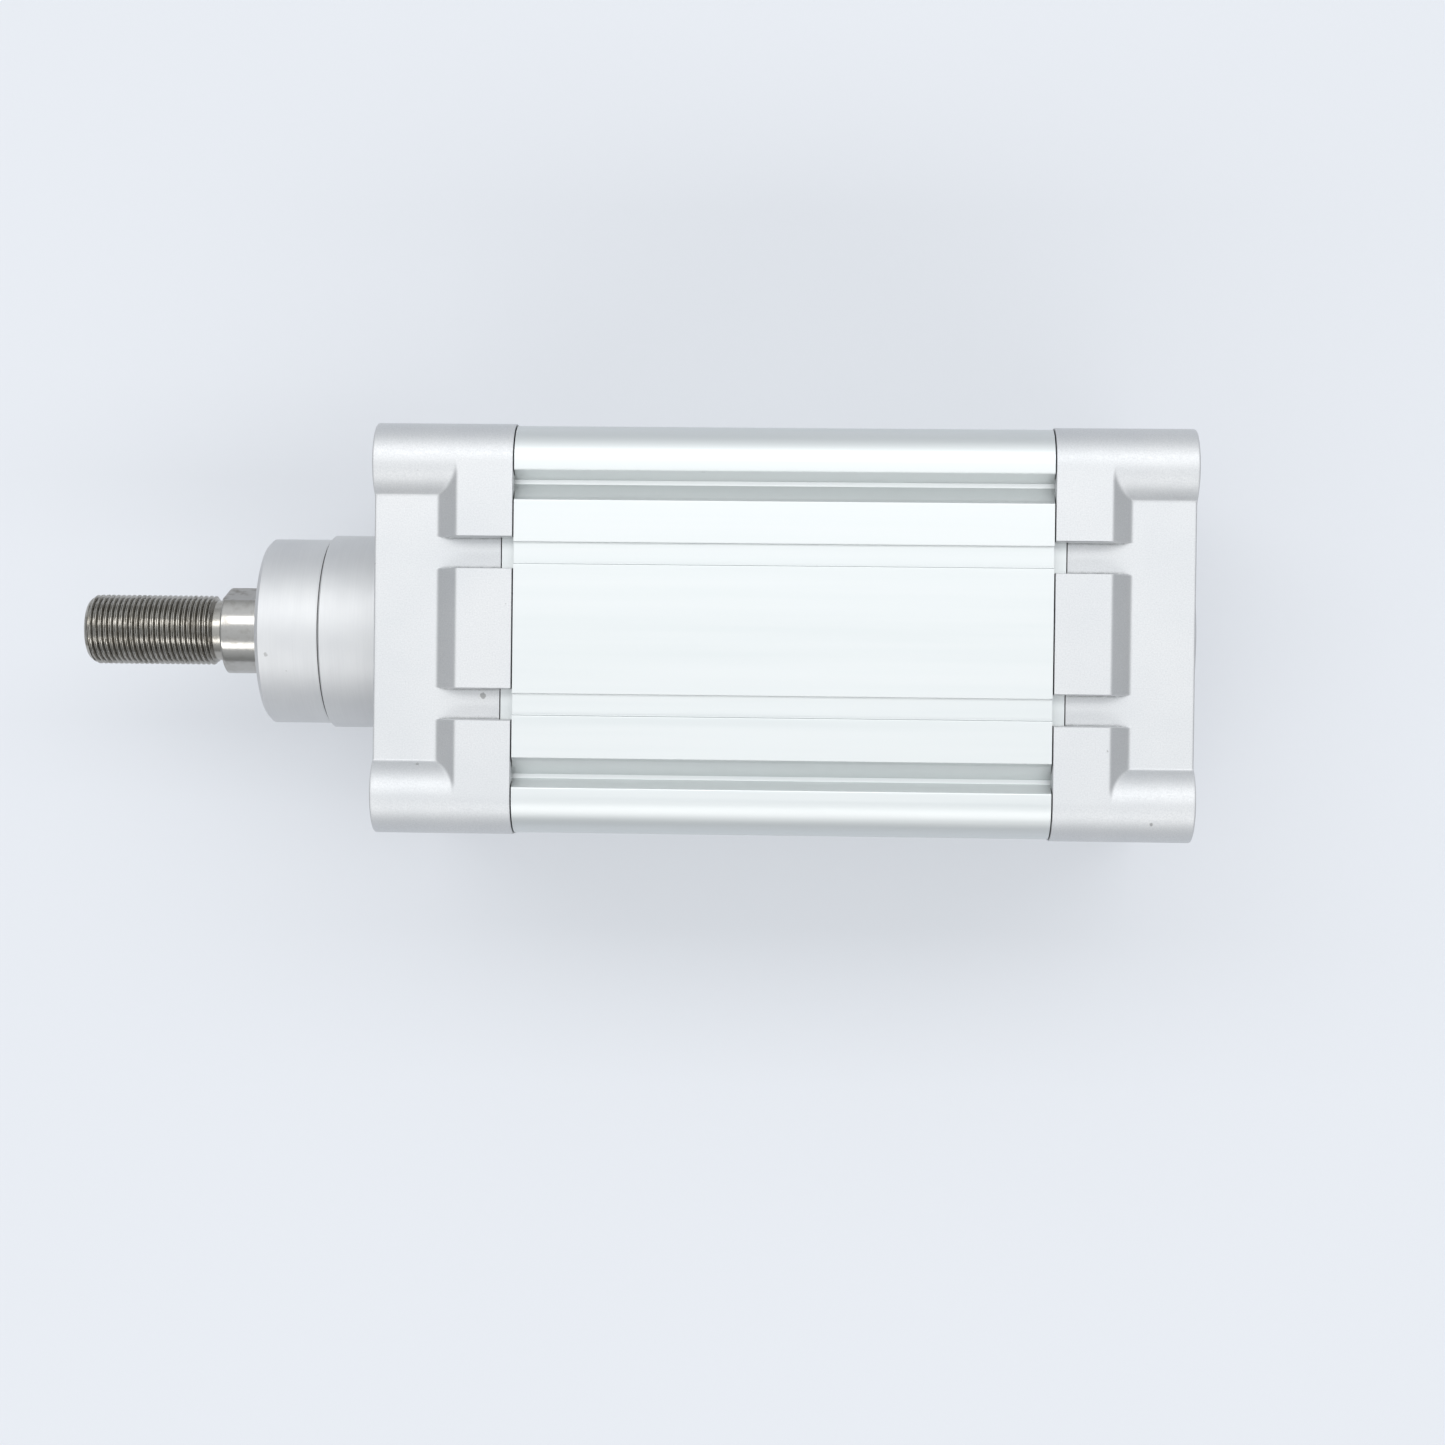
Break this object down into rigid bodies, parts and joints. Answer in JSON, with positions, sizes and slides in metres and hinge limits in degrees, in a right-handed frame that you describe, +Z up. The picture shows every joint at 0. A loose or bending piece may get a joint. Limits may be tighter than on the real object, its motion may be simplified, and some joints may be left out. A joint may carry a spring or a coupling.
{
  "type": "pneumatic cylinder",
  "caption": "Square-bodied profile pneumatic cylinder with a threaded piston rod, a front collar and cushioned end caps.",
  "frame": {"origin": "middle of the bounding box at its bottom, so the cylinder's axis is 55 mm above the origin", "axes": "-X along the piston rod, outwards; -Y is the side with the air ports; +Z up, with the cylinder lying on one flat side"},
  "size_m": [0.313, 0.11, 0.11],
  "materials": {
    "cast_aluminium": "fine blasted, satin",
    "anodised_aluminium": "clear anodised, satin",
    "chromed_steel": "hard chromed and ground",
    "zinc_plated_steel": "zinc plated",
    "sintered_bronze": "matt",
    "rubber": "matt",
    "polyurethane": "satin",
    "acetal": "matt",
    "ferrite": "matt"
  },
  "bodies": {
    "cylinder": {"barrel": "anodised_aluminium", "front_cap": "cast_aluminium", "rear_cap": "cast_aluminium", "rod_bearing_bush": "sintered_bronze", "rod_wiper_seal": "polyurethane", "front_cushion_seal": "polyurethane", "rear_cushion_seal": "polyurethane", "front_barrel_o_ring": "rubber", "rear_barrel_o_ring": "rubber", "front_cap_screw_1": "zinc_plated_steel", "front_cap_screw_2": "zinc_plated_steel", "front_cap_screw_3": "zinc_plated_steel", "front_cap_screw_4": "zinc_plated_steel", "rear_cap_screw_1": "zinc_plated_steel", "rear_cap_screw_2": "zinc_plated_steel", "rear_cap_screw_3": "zinc_plated_steel", "rear_cap_screw_4": "zinc_plated_steel"},
    "piston_rings": {"piston_seal_front": "polyurethane", "piston_seal_rear": "polyurethane", "piston_guide_ring": "acetal"},
    "rod": {"piston_rod": "chromed_steel", "piston_front_disc": "cast_aluminium", "piston_rear_disc": "cast_aluminium", "piston_magnet": "ferrite", "piston_rod_o_ring": "rubber", "front_cushion_sleeve": "cast_aluminium", "rear_cushion_nut": "zinc_plated_steel"},
    "front_adjuster_seal": {"front_cushion_screw_o_ring": "rubber"},
    "front_adjuster": {"front_cushion_screw": "zinc_plated_steel"},
    "rear_adjuster_seal": {"rear_cushion_screw_o_ring": "rubber"},
    "rear_adjuster": {"rear_cushion_screw": "zinc_plated_steel"}
  },
  "joints": [
    {"name": "rod_slide", "type": "slide", "parent": "cylinder", "child": "piston_rings", "axis": [-1, 0, 0], "range_m": [0, 0.08]},
    {"name": "rod_turn", "type": "hinge", "parent": "piston_rings", "child": "rod", "pos_m": [0, 0, 0.055], "axis": [-1, 0, 0], "continuous": true},
    {"name": "front_adjuster_lift", "type": "slide", "parent": "cylinder", "child": "front_adjuster_seal", "axis": [0, -1, 0], "range_m": [-0.001, 0.00125]},
    {"name": "front_adjuster_turn", "type": "hinge", "parent": "front_adjuster_seal", "child": "front_adjuster", "pos_m": [-0.0467, -0.055, 0.041], "axis": [0, -1, 0], "range_deg": [-360, 450]},
    {"name": "rear_adjuster_lift", "type": "slide", "parent": "cylinder", "child": "rear_adjuster_seal", "axis": [0, -1, 0], "range_m": [-0.001, 0.00125]},
    {"name": "rear_adjuster_turn", "type": "hinge", "parent": "rear_adjuster_seal", "child": "rear_adjuster", "pos_m": [0.1337, -0.055, 0.041], "axis": [0, -1, 0], "range_deg": [-360, 450]}
  ],
  "couplings": [
    {"joint": "front_adjuster_turn", "follows": "front_adjuster_lift", "rad_per_m": 6283.2},
    {"joint": "rear_adjuster_turn", "follows": "rear_adjuster_lift", "rad_per_m": 6283.2}
  ]
}
